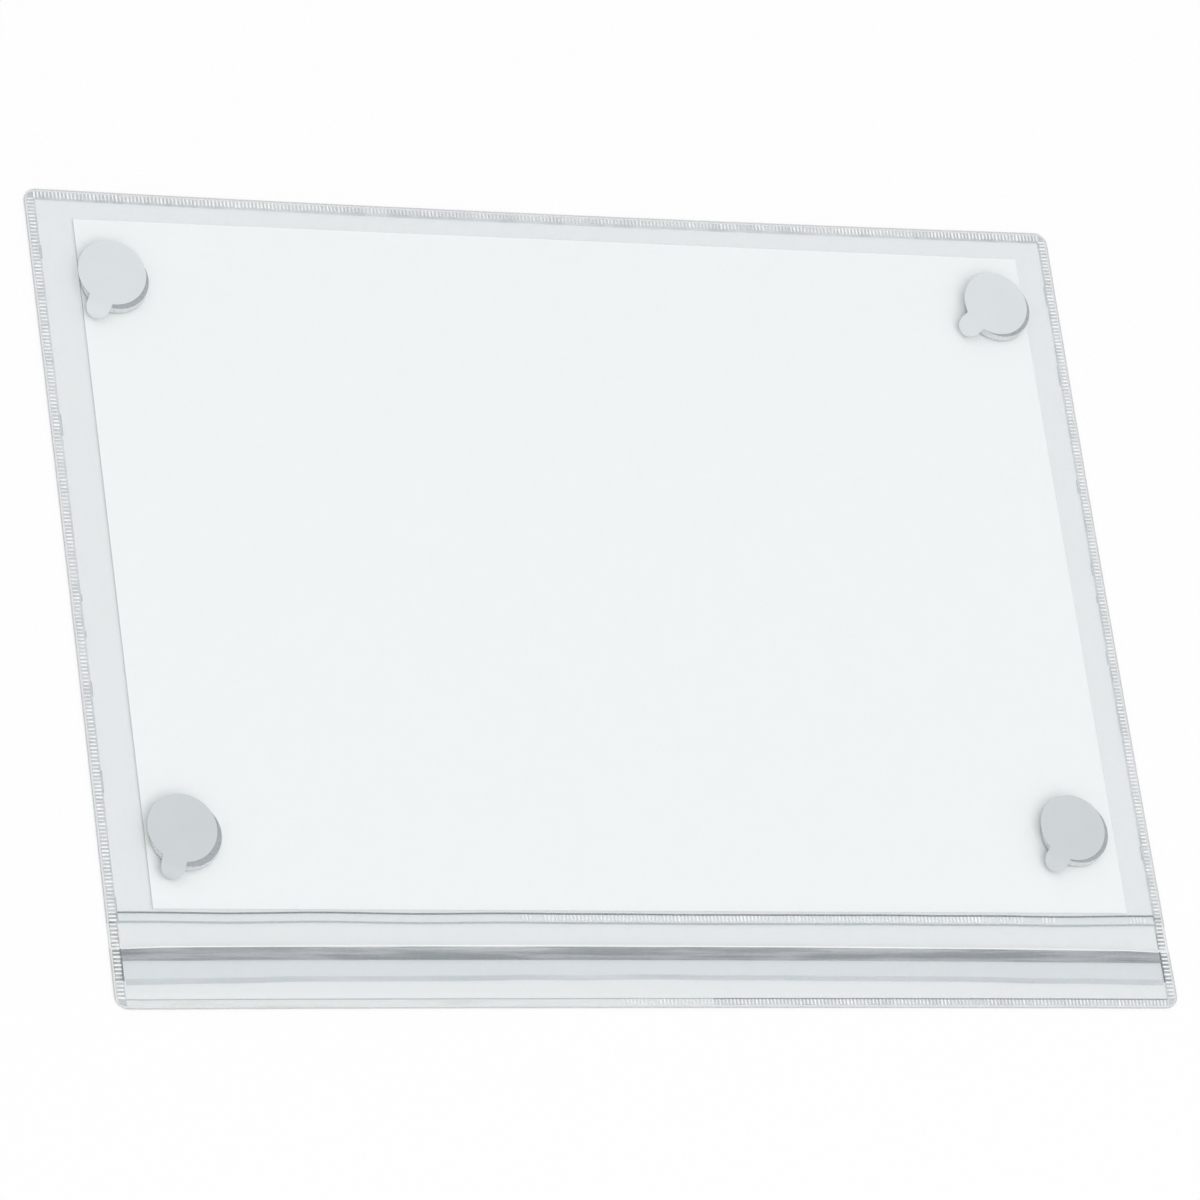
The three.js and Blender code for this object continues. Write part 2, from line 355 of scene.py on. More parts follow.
def evenly(start, end, steps):
    """Places from start to end, both included."""
    return [start + (end - start) * i / steps for i in range(steps + 1)]


def grid_lines(*runs):
    """Sorted grid places from several runs, with no two closer than the closest allowed."""
    found = []
    for value in sorted(v for run in runs for v in run):
        if not found or value - found[-1] > closest_lines:
            found.append(value)
    return found


def across_lines(end, extra=()):
    """Grid places across the pocket, from its left end to its right end, the same on both sides."""
    half = [
        [right_edge, right_edge - edge_line, right_edge - smooth_margin, inside_right - crease_shade_line],
        evenly(right_edge - corner_radius, right_edge, corner_steps),
        evenly(inside_right - weld_slope, inside_right, slope_steps),
        evenly(0, inside_right - weld_slope, round(inside_right / panel_step)),
        list(extra),
    ]
    kept = [v for run in half for v in run if v < end - 2 * closest_lines] + [end]
    return grid_lines(kept, [-v for v in kept])


def slab(columns, rows, underside, finish_at, lies=as_it_lies, thickness=film_thickness, rim_finish=None):
    """A closed film over a grid: its points, its faces and each face's finish."""
    points = []
    for lift in (layer_gap, thickness - layer_gap):
        for y in rows:
            for x in columns:
                px, py = lies(x, y)
                points.append((px, py, underside(x, y) + lift))
    across = len(columns)
    layer = across * len(rows)
    faces = []
    marks = []
    for j in range(len(rows) - 1):
        for i in range(across - 1):
            a = j * across + i
            mark = finish_at((columns[i] + columns[i + 1]) / 2, (rows[j] + rows[j + 1]) / 2)
            faces.append((a + across, a + across + 1, a + 1, a))
            faces.append((a + layer, a + 1 + layer, a + across + 1 + layer, a + across + layer))
            marks += [mark, mark]
    last = len(rows) - 1
    rim = list(range(across))
    rim += [j * across + across - 1 for j in range(1, len(rows))]
    rim += [last * across + i for i in range(across - 2, -1, -1)]
    rim += [j * across for j in range(last - 1, 0, -1)]
    for a, b in zip(rim, rim[1:] + rim[:1]):
        faces.append((a, b, b + layer, a + layer))
        # Rims get the outline's painted shade unless given another finish.
        marks.append(OUTLINE_SHADE if rim_finish is None else rim_finish)
    return points, faces, marks


def outline_depth(x, y):
    """How far a place is inside the outline, in millimetres."""
    return min(right_edge - abs(x), top_edge - abs(y))


# %% [markdown]
# Uneven welds
#
# No jaw presses evenly. For each weld a short list says how well it pressed, as places
# along the weld in millimetres from the pocket's middle, each with a share from 0 to 1.
# The films look greyer where it pressed well, and most of all beside the strip's lip,
# where four films lie under the jaw. Here and there a crease at the border is painted as shade.

# %% How well the jaws pressed
hard_press = 0.62
crease_run = 9
crease_rarity = 0.22

pressed = {
    "left": [(-125, 1.0), (-100, 1.0), (-72, 0.8), (-48, 0.7), (-36, 0.5), (60, 0.5), (75, 0.7),
             (125, 0.8)],
    "right": [(-125, 1.0), (-104, 1.0), (-92, 0.4), (-70, 0.35), (-55, 0.55), (80, 0.55), (125, 0.85)],
    "top": [(-161, 0.85), (-120, 0.7), (-90, 0.5), (-65, 0.3), (80, 0.3), (95, 0.5), (161, 0.8)],
    "bottom": [(-20, 0.0), (0, 0.25), (40, 0.5), (80, 0.4), (104, 0.35), (135, 0.5), (161, 0.6)],
    "seam": [(-40, 0.1), (13, 0.35), (60, 0.2), (78, 0.2), (95, 0.35), (110, 0.3), (128, 0.0),
             (149, 0.0), (150, 0.3), (155, 0.3)],
}


def pressing(weld, place):
    """How well the jaw pressed at a place along a weld, from 0 to 1."""
    knots = pressed[weld]
    for (start, first), (end, last) in zip(knots, knots[1:]):
        if start <= place <= end:
            return first + (last - first) * (place - start) / (end - start)
    return 0


def weld_finish(x, y):
    """Welds look greyest where the jaws pressed hard, most of all over four films."""
    if abs(x) > inside_right and flap_edge < y < seam_top:
        return DEEP
    if abs(x) > inside_right:
        strong = pressing("right" if x > 0 else "left", y)
    else:
        strong = pressing("top" if y > 0 else "bottom", x)
    return HARD if strong > hard_press else WELD


def crease_shade_at(x, y):
    """Whether a side weld's inner border gets a painted shade line for a crease, which it does only in
    places.
    """
    beside = 0 < inside_right - abs(x) < crease_shade_line
    return beside and noise.noise(Vector((math.copysign(3, x), y / crease_run, 8))) > crease_rarity


# %% [markdown]
# Ribs
#
# The welding tool's jaw is knurled, and its teeth leave a rib across the weld every
# 1.1 mm. There are about a thousand, so they are small closed bars with a round back,
# sunk a little into the film below. Each is as high, long and white as the jaw pressed
# well there, give or take a little, and where it hardly pressed they nearly vanish. Their
# white is partly whitened PVC and partly painted glint.

# %% Ribs along a weld
rib_pitch = 1.125
rib_length = 2.2
rib_width = 0.55
rib_height = 0.10
rib_sunk = 0.02
corner_clear = 2.6
bottom_rib_length = 2.0
shortest_rib = 0.75
lowest_rib = 0.35
length_jitter = 0.12
width_jitter = 0.4
rib_unevenness = 0.18
unevenness_run = 6
mild_press = 0.32
faint_press = 0.08
rib_start = right_edge - smooth_margin


def rib_bar(points, faces, marks, start, along, length, width, height, base, finish):
    """Adds one bar that runs from start in the direction along, with its back rounded.

    Each section is a share of the length, of the width and of the height."""
    aside = Vector((-along.y, along.x))
    sections = [(0.0, 0.55, 0.0), (0.14, 1.0, 1.0), (0.86, 1.0, 1.0), (1.0, 0.55, 0.0)]
    back = [(-0.5, 0.0), (-0.3, 0.75), (0.0, 1.0), (0.3, 0.75), (0.5, 0.0)]
    hoops = []
    for share, wide, high in sections:
        hoops.append(range(len(points), len(points) + len(back)))
        for side, rise in back:
            spot = start + along * (share * length) + aside * (side * wide * width)
            px, py = as_it_lies(spot.x, spot.y)
            points.append((px, py, base - rib_sunk + height * rise * high))
    for near, far in zip(hoops, hoops[1:]):
        for k in range(len(back) - 1):
            faces.append((near[k], far[k], far[k + 1], near[k + 1]))
            marks.append(finish)
    foot = [*hoops[0], *[hoop[-1] for hoop in hoops[1:-1]]]
    foot += [*reversed(hoops[-1]), *[hoop[0] for hoop in hoops[-2:0:-1]]]
    faces.append(tuple(foot))
    marks.append(finish)


def ribs_between(parts, begin, end, inward, weld, base, length=rib_length):
    """Ribs from begin to end along one weld, each running inward, and none where it isn't pressed."""
    rng = random.Random(weld)
    span = end - begin
    count = int(span.length // rib_pitch)
    made = 0
    for k in range(count):
        jitter = rng.random()
        spot = begin + span * ((k + 0.5) / count)
        place = spot.y if weld in ("left", "right") else spot.x
        level = pressing(weld, place)
        uneven = rib_unevenness * noise.noise(Vector((place / unevenness_run, len(weld), 2.5)))
        strong = min(max(level + uneven, 0), 1)
        if level == 0 or strong < faint_press:
            continue
        finish = RIB_WHITE_GLINT if strong > hard_press else MILD_WHITE_GLINT if strong > mild_press else FAINT_WHITE_GLINT
        reach = length * (shortest_rib + (1 - shortest_rib) * strong + length_jitter * (jitter - 0.5))
        width = rib_width * (1 + width_jitter * (jitter - 0.5))
        height = rib_sunk + rib_height * (lowest_rib + (1 - lowest_rib) * strong)
        rib_bar(*parts, spot, inward, reach, width, height, base, finish)
        made += 1
    return made


def ribs_at_sides(parts, begin_y, end_y, base):
    """Ribs along both side welds, from one place up the pocket to another."""
    made = 0
    for side, weld in ((-1, "left"), (1, "right")):
        begin = Vector((side * rib_start, begin_y))
        end = Vector((side * rib_start, end_y))
        made += ribs_between(parts, begin, end, Vector((-side, 0)), weld, base)
    return made


# %% [markdown]
# The front film
#
# It lies flat under everything, over the whole outline. Where neither the back film nor
# the strip covers it, between the seam and the strip's lip, the jaws have pressed their
# ribs straight into it.

# %% Front film


def front_finish(x, y):
    """Only the stretch that no other film covers shows its weld."""
    if outline_depth(x, y) < edge_line:
        return OUTLINE_SHADE
    bare = lip_edge < y < seam_bottom and inside_right < abs(x) < right_edge - smooth_margin
    return weld_finish(x, y) if bare else TINTED


rows = grid_lines(
    [-top_edge, -top_edge + edge_line, top_edge - edge_line, top_edge],
    evenly(-top_edge, -top_edge + corner_radius, corner_steps),
    evenly(top_edge - corner_radius, top_edge, corner_steps),
    evenly(-top_edge + corner_radius, top_edge - corner_radius, round(2 * top_edge / panel_step)),
    [lip_edge, seam_bottom],
)
front = slab(across_lines(right_edge), rows, lambda x, y: front_low.z, front_finish)
ribs = ribs_at_sides(front, lip_edge, seam_bottom, front_high.z - layer_gap)
print("ribs in the front film:", ribs)
make_piece("front_film", *front, pvc_finishes, "clear_film")

# %% [markdown]
# The back film
#
# It is welded to the front film at both sides and the top, and rises over a short slope
# to lie on the paper. Its lower edge is the seam that carries the closing flap. The seam
# lies about a third of a millimetre low, here more and there less.

# %% Back film
seam_line = 0.6
seam_reach = 6
seam_sag = 0.3
seam_wave = 0.3
seam_wave_length = 28
panel_rise = back_high.z - film_thickness - front_high.z


def back_underside(x, y):
    """Flat in the welds, then up a soft slope onto the paper."""
    beside = soft_step((inside_right - abs(x)) / weld_slope)
    below = soft_step((inside_top - y) / weld_slope)
    return front_high.z + panel_rise * beside * below


def seam_shift(x):
    """How far up the pocket the seam lies off its line: mostly down, and unevenly."""
    return seam_wave * noise.noise(Vector((x / seam_wave_length, 6.1, 0))) - seam_sag


def back_lies(x, y):
    """The film's lower edge follows the seam."""
    near = max(0, 1 - (y - seam_bottom) / seam_reach)
    px, py = as_it_lies(x, y)
    return px, py + near * seam_shift(x)


def back_finish(x, y):
    """Welds along three sides, and painted shade along the cut edge at the seam and at creases."""
    depth = outline_depth(x, y)
    if y - seam_bottom < seam_line and abs(x) < inside_right:
        return SOFT_SHADE
    if depth < edge_line:
        return OUTLINE_SHADE
    # Painted shade where the film creases by a side weld.
    if crease_shade_at(x, y) and y < inside_top:
        return SOFT_SHADE
    welded = abs(x) > inside_right or y > inside_top
    return weld_finish(x, y) if welded and depth > smooth_margin else CLEAR


rows = grid_lines(
    [seam_bottom, seam_bottom + seam_line],
    [top_edge, top_edge - edge_line, top_edge - smooth_margin],
    evenly(top_edge - corner_radius, top_edge, corner_steps),
    evenly(inside_top - weld_slope, inside_top, slope_steps),
    evenly(seam_bottom + seam_line, inside_top - weld_slope, round(2 * top_edge / crease_step)),
)
back = slab(across_lines(right_edge), rows, back_underside, back_finish, back_lies)
weld_top = front_high.z + film_thickness - layer_gap
ribs = ribs_at_sides(back, seam_bottom, top_edge - corner_clear, weld_top)
ribs += ribs_between(back, Vector((-right_edge + corner_clear, top_edge - smooth_margin)),
                     Vector((right_edge - corner_clear, top_edge - smooth_margin)),
                     Vector((0, -1)), "top", weld_top)
print("ribs in the back film:", ribs)
make_piece("back_film", *back, pvc_finishes, "clear_film")

# %% [markdown]
# The closing flap
#
# A strip of the same film, welded onto the lower edge of the back film by a narrow ribbed
# seam. It dips under the bottom strip's lip, and its free edge lies slightly wavy inside.
# Along its upper edge a sharp dark line of painted shade runs across the pocket, just
# under the paper. At its ends it reaches the side welds, but for the tucked part, which
# has to slide in.

# %% Closing flap
flap_bow = 1.3
flap_wave = 0.35
flap_wave_length = 22
flap_slack = 1.3
tuck_clearance = 0.5
flare = 0.4
flare_reach = 3
tucked_end = inside_right - tuck_clearance
tucked_underside = flap_low.z
seam_edge_line = 0.5
flap_edge_line = 1.5
flap_steps = 4


def flap_underside(x, y):
    """On the panel at the seam, then down to lie tucked behind the strip."""
    raised = soft_step((y - lip_edge) / (seam_bottom - lip_edge))
    return tucked_underside + (back_high.z - tucked_underside) * raised


def flap_lies(x, y):
    """The free edge hangs a little lower than the rest, bows up in its middle and is wavy."""
    share = (seam_top - y) / (seam_top - flap_edge)
    bow = flap_bow * (1 - (x / right_edge) ** 2)
    wave = flap_wave * noise.noise(Vector((x / flap_wave_length, 1.7, 0)))
    px, py = as_it_lies(x, y)
    px *= 1 + flare / tucked_end * soft_step((y - lip_edge) / flare_reach)
    return px, py + share ** 2 * (bow + wave - flap_slack) + (1 - share) * seam_shift(x)


def flap_finish(x, y):
    """A sharp line of painted shade at the welded edge, and a softer one along the free edge."""
    # Painted shade along the welded edge.
    if seam_top - y < seam_edge_line:
        return DARK_SHADE
    if y - flap_edge < flap_edge_line:
        return FREE_EDGE_SHADE
    return TUCKED_GREYER if y < lip_edge else CLEAR


rows = grid_lines(
    [flap_edge, flap_edge + flap_edge_line, seam_top - seam_edge_line, seam_top, seam_bottom],
    evenly(flap_edge + flap_edge_line, lip_edge, flap_steps),
    evenly(lip_edge, seam_bottom, 2 * slope_steps),
)
flap = slab(across_lines(tucked_end), rows, flap_underside, flap_finish, flap_lies)
flap_top = flap_high.z - layer_gap
rib_line = seam_top - seam_edge_line - seam_sag
ribs = ribs_between(flap, Vector((-flap_end, rib_line)), Vector((flap_end, rib_line)),
                    Vector((0, -1)), "seam", flap_top)
print("ribs in the seam:", ribs)
make_piece("closure_flap", *flap, pvc_finishes, "clear_film")

# %% [markdown]
# The bottom strip
#
# This strip is welded at the bottom and both sides and holds the flap in. Its upper edge
# is free and has curled towards us, more in one place than in another. The curl is real
# geometry, so it also shows from the side; its dark band is painted shade, and its edge a
# painted highlight. The bottom weld came out smooth in its left half, a line of painted
# shade runs along its border, and at both ends of the lip painted shade runs along the
# side welds.

# %% Bottom strip
lip_bow = 0.8
lip_slack = 0.75
lip_middle = -20
lip_unevenness = 0.1
lip_wave_length = 30
strip_slope = 0.45
room_for_flap = 0.45
strip_flat = front_high.z + room_for_flap
lip_lift = strip_high.z - film_thickness - strip_flat
highlight_line = 0.3
weld_line = 0.3
lip_end_shade_line = 0.45
lip_end_shade_inside = lip_end_shade_line / 4
lip_end_shade_tail = 1
smooth_until = 15
strip_steps = 5
lip_steps = 8


def strip_underside(x, y):
    """Up from the welds over the flap, and curled at the free lip."""
    inside = inside_right - abs(x)
    raised = soft_step(inside / strip_slope) * soft_step((y - inside_bottom) / weld_slope)
    curled = soft_step(inside / lip_run_in) * max((y - curl_start) / lip_height, 0) ** 2
    uneven = 1 - lip_unevenness + lip_unevenness * noise.noise(Vector((x / lip_wave_length, 4.2, 0)))
    return front_high.z + (strip_flat - front_high.z) * raised + lip_lift * curled * uneven


def strip_lies(x, y):
    """The free lip has sunk back a little, and bows up in its middle."""
    share = max(0, (y - inside_bottom) / (lip_edge - inside_bottom))
    px, py = as_it_lies(x, y)
    return px, py + share ** 2 * (lip_bow * (1 - ((x - lip_middle) / right_edge) ** 2) - lip_slack)


def strip_finish(x, y):
    """Welds at the sides and the bottom, the curled lip with its painted shade and highlight, and painted
    shade at the lip's ends.
    """
    depth = outline_depth(x, y)
    if depth < edge_line:
        return OUTLINE_SHADE
    # Painted shade along the side welds at both ends of the lip.
    if -lip_end_shade_line < inside_right - abs(x) < lip_end_shade_inside and y > flap_edge - lip_end_shade_tail:
        return DARK_SHADE
    # A thin painted highlight along the lip's free edge.
    if lip_edge - y < highlight_line:
        return EDGE_HIGHLIGHT
    # The curled lip's dark band is painted shade.
    if abs(x) < inside_right and y > curl_start:
        return CURL_SHADE
    # A line of painted shade along the bottom weld's border, softer in the smooth half.
    if abs(x) < inside_right and 0 < inside_bottom - y < weld_line:
        return SOFT_SHADE if x < smooth_until else DARK_SHADE
    if abs(x) < inside_right and y < inside_bottom and x < smooth_until:
        return SMOOTH
    welded = abs(x) > inside_right or y < inside_bottom
    return weld_finish(x, y) if welded and depth > smooth_margin else CLEAR


rows = grid_lines(
    [-top_edge, -top_edge + edge_line, -top_edge + smooth_margin],
    evenly(-top_edge, -top_edge + corner_radius, corner_steps),
    evenly(inside_bottom, inside_bottom + weld_slope, slope_steps),
    [inside_bottom - weld_line, lip_edge - highlight_line],
    evenly(inside_bottom + weld_slope, curl_start, strip_steps),
    evenly(curl_start, lip_edge, lip_steps),
)
run_in = evenly(inside_right - lip_run_in, inside_right - strip_slope, lip_steps)
run_in += evenly(inside_right - strip_slope, inside_right, slope_steps)
run_in.append(inside_right + lip_end_shade_line)
strip = slab(across_lines(right_edge, run_in), rows, strip_underside, strip_finish, strip_lies)
ribs = ribs_at_sides(strip, -top_edge + corner_clear, lip_edge, weld_top)
ribs += ribs_between(strip, Vector((-right_edge + corner_clear, inside_bottom - weld_line)),
                     Vector((right_edge - corner_clear, inside_bottom - weld_line)),
                     Vector((0, -1)), "bottom", weld_top, bottom_rib_length)
print("ribs in the strip:", ribs)
make_piece("bottom_strip", *strip, pvc_finishes, "clear_film")

# %% [markdown]
# The paper sheet
#
# Plain uncoated office paper, 80 grams to the square metre. It is pressed from pulp and
# left matt, so it has no gloss of its own, only the faintest cloudiness where the fibres
# lie thicker. The fibres are finer than a pixel, so the pattern is drawn at 2 mm.

# %% Paper
fibre_cloud = 2.0


def paper(name, base, cloud):
    """Uncoated paper: matt, with faint clouds between two close whites."""
    material, tree = new_material(name)
    clouds = node(tree, "ShaderNodeTexNoise", {"Vector": place_in(tree, fibre_cloud), "Scale": 1.0,
                                               "Detail": 2.0})
    tone = node(tree, "ShaderNodeMix", {"Factor": clouds.outputs["Fac"], 6: colour(base),
                                        7: colour(cloud)}, data_type="RGBA")
    sheet = node(tree, "ShaderNodeBsdfDiffuse", {"Color": tone.outputs[2], "Roughness": 0.3})
    node(tree, "ShaderNodeOutputMaterial", {"Surface": sheet.outputs[0]})
    return material


office_paper = paper("uncoated_office_paper", "#FAFBFB", "#F6F8F8")
# Painted shade and painted highlight along the sheet's edges.
paper_edge_painted_shade = paper("paper_edge_line_painted_shade", "#D3D7D8", "#CACFD0")
paper_edge_painted_highlight = paper("paper_edge_line_painted_highlight", "#FFFFFF", "#FEFEFE")

# %% Paper sheet
paper_edge_band = 0.3
sheet_columns = 24
sheet_rows = 18


def sheet_finish(x, y):
    """A thin grey line of painted shade at the left edge, and white painted highlights beside it and along
    the top.
    """
    if x - sheet_low.x < paper_edge_band:
        return 1
    return 2 if x - sheet_low.x < 2 * paper_edge_band or sheet_high.y - y < paper_edge_band else 0


columns = grid_lines([sheet_low.x, sheet_low.x + paper_edge_band],
                     evenly(sheet_low.x + 2 * paper_edge_band, sheet_high.x, sheet_columns))
rows = grid_lines([sheet_high.y], evenly(sheet_low.y, sheet_high.y - paper_edge_band, sheet_rows))
sheet = slab(columns, rows, lambda x, y: sheet_low.z, sheet_finish, lambda x, y: (x, y),
             sheet_high.z - sheet_low.z, 1)
make_piece("insert_sheet", *sheet, [office_paper, paper_edge_painted_shade, paper_edge_painted_highlight], "paper")

# %% [markdown]
# Foam pads
#
# Each pad is die-cut from a strip of closed-cell foam, with adhesive on both faces. The
# foam springs back after the cut, so it is a little smaller than its cutter and its side
# slightly hollow. It is laminated from two layers, which shows as a fine groove.

# %% Foam
cell_size = 0.6
cell_depth = 0.15


def foam(name, base, pore):
    """Closed-cell foam: matt, with small cells that are cut open at the side."""
    material, tree = new_material(name)
    cells = node(tree, "ShaderNodeTexVoronoi", {"Vector": place_in(tree, cell_size), "Scale": 1.0})
    depth = node(tree, "ShaderNodeMapRange", {"Value": cells.outputs["Distance"], "From Min": 0.1,
                                              "From Max": 0.8})
    tone = node(tree, "ShaderNodeMix", {"Factor": depth.outputs[0], 6: colour(base), 7: colour(pore)},
                data_type="RGBA")
    relief = node(tree, "ShaderNodeBump", {"Height": cells.outputs["Distance"],
                                           "Distance": cell_depth * MM})
    body = node(tree, "ShaderNodeBsdfPrincipled", {"Base Color": tone.outputs[2], "Roughness": 0.8,
                                                   "IOR": 1.49, "Normal": relief.outputs[0]})
    node(tree, "ShaderNodeOutputMaterial", {"Surface": body.outputs[0]})
    return material


closed_cell_foam = foam("closed_cell_foam", "#EDEFF0", "#D3D7D9")
# The adhesive bands are painted grey, as the shade at the pad's foot and under the liner's edge.
adhesive_and_painted_shade = foam("pressure_sensitive_adhesive_painted_shade", "#B2B8BB", "#A0A7AA")

# %% Foam pads
places = ("top_left", "top_right", "bottom_left", "bottom_right")
round_steps = 72
groove_depth = 0.15
groove_half = 0.2
cut_lean = 0.05
adhesive_step = 0.02
foam_shrink = {"top": 0.3, "bottom": 0.05}
adhesive_layer = 0.25


def turned(profile, centre, steps):
    """A closed solid turned about an upright axis, from (radius, height, finish) up its side."""
    points = []
    for radius, height, _ in profile:
        for k in range(steps):
            angle = 2 * math.pi * k / steps
            points.append((centre.x + radius * math.cos(angle), centre.y + radius * math.sin(angle),
                           height))
    faces = [tuple(reversed(range(steps)))]
    marks = [profile[0][2]]
    for ring in range(len(profile) - 1):
        for k in range(steps):
            a = ring * steps + k
            b = ring * steps + (k + 1) % steps
            faces.append((a, b, b + steps, a + steps))
            marks.append(profile[ring][2])
    faces.append(tuple(range((len(profile) - 1) * steps, len(profile) * steps)))
    marks.append(profile[-1][2])
    return points, faces, marks


for place in places:
    low, high = box_mm("foam_pad_" + place)
    centre = (low + high) / 2
    cut_radius = (high.x - low.x) / 2 - foam_shrink[place.split("_")[0]]
    middle = (low.z + high.z) / 2
    # The grey adhesive bands at the foot and at the top, under the liner, are painted shade.
    profile = [
        (cut_radius - 2 * cut_lean, low.z + layer_gap, 1),
        (cut_radius, low.z + adhesive_layer, 0),
        (cut_radius - cut_lean, middle - groove_half, 0),
        (cut_radius - groove_depth, middle, 0),
        (cut_radius - cut_lean, middle + groove_half, 0),
        (cut_radius - 2 * cut_lean, high.z - adhesive_layer, 0),
        (cut_radius - 4 * cut_lean, high.z - adhesive_layer + adhesive_step, 1),
        (cut_radius - 4 * cut_lean, high.z - layer_gap, 1),
    ]
    pad = make_piece("foam_pad_" + place, *turned(profile, centre, round_steps),
                     [closed_cell_foam, adhesive_and_painted_shade], "pad_foam")

# %% [markdown]
# Release liners
#
# A release liner is a thin film with a silicone coat, so that the adhesive lets go. It is
# smooth and satin, a cool grey-white. Each was punched with a pull tab and laid on by
# hand, so no two sit alike. The lower two are painted a little greyer, as shade towards
# the bottom. Past the pad's edge the tab bends down under its own spring.

# %% Release liner
smear_size = 9.0
smear_depth = 0.05


def liner_finish(name, base, cloud):
    """Siliconised film: satin, with slow unevenness from the coating."""
    material, tree = new_material(name)
    smears = node(tree, "ShaderNodeTexNoise", {"Vector": place_in(tree, smear_size), "Scale": 1.0,
                                               "Detail": 3.0})
    tone = node(tree, "ShaderNodeMix", {"Factor": smears.outputs["Fac"], 6: colour(base),
                                        7: colour(cloud)}, data_type="RGBA")
    relief = node(tree, "ShaderNodeBump", {"Height": smears.outputs["Fac"], "Distance": smear_depth * MM})
    coat = node(tree, "ShaderNodeBsdfPrincipled", {"Base Color": tone.outputs[2], "Roughness": 0.42,
                                                   "IOR": 1.45, "Normal": relief.outputs[0]})
    node(tree, "ShaderNodeOutputMaterial", {"Surface": coat.outputs[0]})
    return material


upper_liner_tone = liner_finish("siliconised_release_liner", "#DDE2E4", "#D7DCDF")
# The lower liners are painted greyer, as shade.
lower_liner_painted_shade = liner_finish("siliconised_release_liner_painted_shade", "#CFD5D7", "#C9CFD2")

# %% Release liners
liner_radius = 10.1
tab_radius = 3.5
tab_reach = 11.5
tab_drop = 2
bend_clearance = 0.1
tab_degrees = {"top_left": 244, "top_right": 218, "bottom_left": 251, "bottom_right": 236}
liner_length_steps = 64
liner_width_steps = 16
neck_steps = 4
tab_end_steps = 12


def liner_half_width(u):
    """Half the liner's width at a distance along its tab from the disc's centre."""
    disc = math.sqrt(max(liner_radius ** 2 - u ** 2, 0))
    past = max(u - tab_reach, 0)
    tab = math.sqrt(max(tab_radius ** 2 - past ** 2, 0)) if u > 0 else 0
    return max(disc, tab)


def liner_mesh(centre, top, thickness, angle, bend_start):
    """A liner: flat over the pad, then bent down past its edge along an arc."""
    far = tab_reach + tab_radius
    run = far - bend_start
    bend_angle = 2 * math.atan(tab_drop / run)
    bend_radius = run / math.sin(bend_angle)
    turn = Matrix.Rotation(math.radians(angle), 2)
    disc_steps = [-liner_radius * math.cos(math.pi * k / liner_length_steps)
                  for k in range(liner_length_steps + 1)]
    meet = math.sqrt(liner_radius ** 2 - tab_radius ** 2)
    tab_steps = [tab_reach + tab_radius * math.sin(math.pi / 2 * k / tab_end_steps)
                 for k in range(tab_end_steps + 1)]
    neck = evenly(meet, tab_reach, neck_steps)
    stations = grid_lines([u for u in disc_steps if u < meet], neck, tab_steps)
    points = []
    for lift in (-thickness + layer_gap, -layer_gap):
        for u in stations:
            half = liner_half_width(u)
            bent = max(u - bend_start, 0) / run * bend_angle
            along = u if u < bend_start else bend_start + (bend_radius + lift) * math.sin(bent)
            drop = (bend_radius + lift) * (1 - math.cos(bent))
            for k in range(liner_width_steps + 1):
                spot = turn @ Vector((along, half * (2 * k / liner_width_steps - 1)))
                points.append((centre.x + spot.x, centre.y + spot.y, top + lift - drop))
    across = liner_width_steps + 1
    layer = across * len(stations)
    faces = []
    for j in range(len(stations) - 1):
        for i in range(across - 1):
            a = j * across + i
            faces.append((a, a + 1, a + across + 1, a + across))
            faces.append((a + layer, a + across + layer, a + across + 1 + layer, a + 1 + layer))
    for j in range(len(stations) - 1):
        for a, b in ((j * across, (j + 1) * across), ((j + 2) * across - 1, (j + 1) * across - 1)):
            faces.append((a, b, b + layer, a + layer))
    return points, faces, [0] * len(faces)


for place in places:
    low, high = box_mm("liner_" + place)
    pad_low, pad_high = box_mm("foam_pad_" + place)
    centre = Vector((high.x - liner_radius, high.y - liner_radius))
    pad_centre = ((pad_low + pad_high) / 2).to_2d()
    angle = tab_degrees[place]
    along = Vector((math.cos(math.radians(angle)), math.sin(math.radians(angle))))
    bend_start = liner_radius + (pad_centre - centre).dot(along) + bend_clearance
    make_piece("liner_" + place,
               *liner_mesh(centre, high.z, high.z - pad_high.z, angle, bend_start),
               [upper_liner_tone if place.startswith("top") else lower_liner_painted_shade], "release_liner")

# %% [markdown]
# The floor
#
# The pocket lies on plain white. A lit white surface is never quite white in a picture,
# so the floor gives half of its white as light of its own, for the camera and for what
# it sees in gloss or through the film. The other half is lit, so the floor keeps the
# object's shadow and lends no extra light to it.

# %% Floor
floor_drop = 0.05
floor_size = 12000
floor_glow = 0.5

material, tree = new_material("white_studio_floor")
path = node(tree, "ShaderNodeLightPath")
seen = node(tree, "ShaderNodeMath", {0: path.outputs["Is Camera Ray"], 1: path.outputs["Is Glossy Ray"]},
            operation="MAXIMUM")
seen = node(tree, "ShaderNodeMath", {0: seen.outputs[0], 1: path.outputs["Is Transmission Ray"]},
            operation="MAXIMUM")
glow = node(tree, "ShaderNodeMath", {0: seen.outputs[0], 1: floor_glow}, operation="MULTIPLY")
lit = node(tree, "ShaderNodeBsdfDiffuse", {"Color": colour("#FDFDFD")})
white = node(tree, "ShaderNodeEmission", {"Color": (1, 1, 1, 1), "Strength": 1.0})
whole = node(tree, "ShaderNodeMixShader", {0: glow.outputs[0], 1: lit.outputs[0], 2: white.outputs[0]})
node(tree, "ShaderNodeOutputMaterial", {"Surface": whole.outputs[0]})

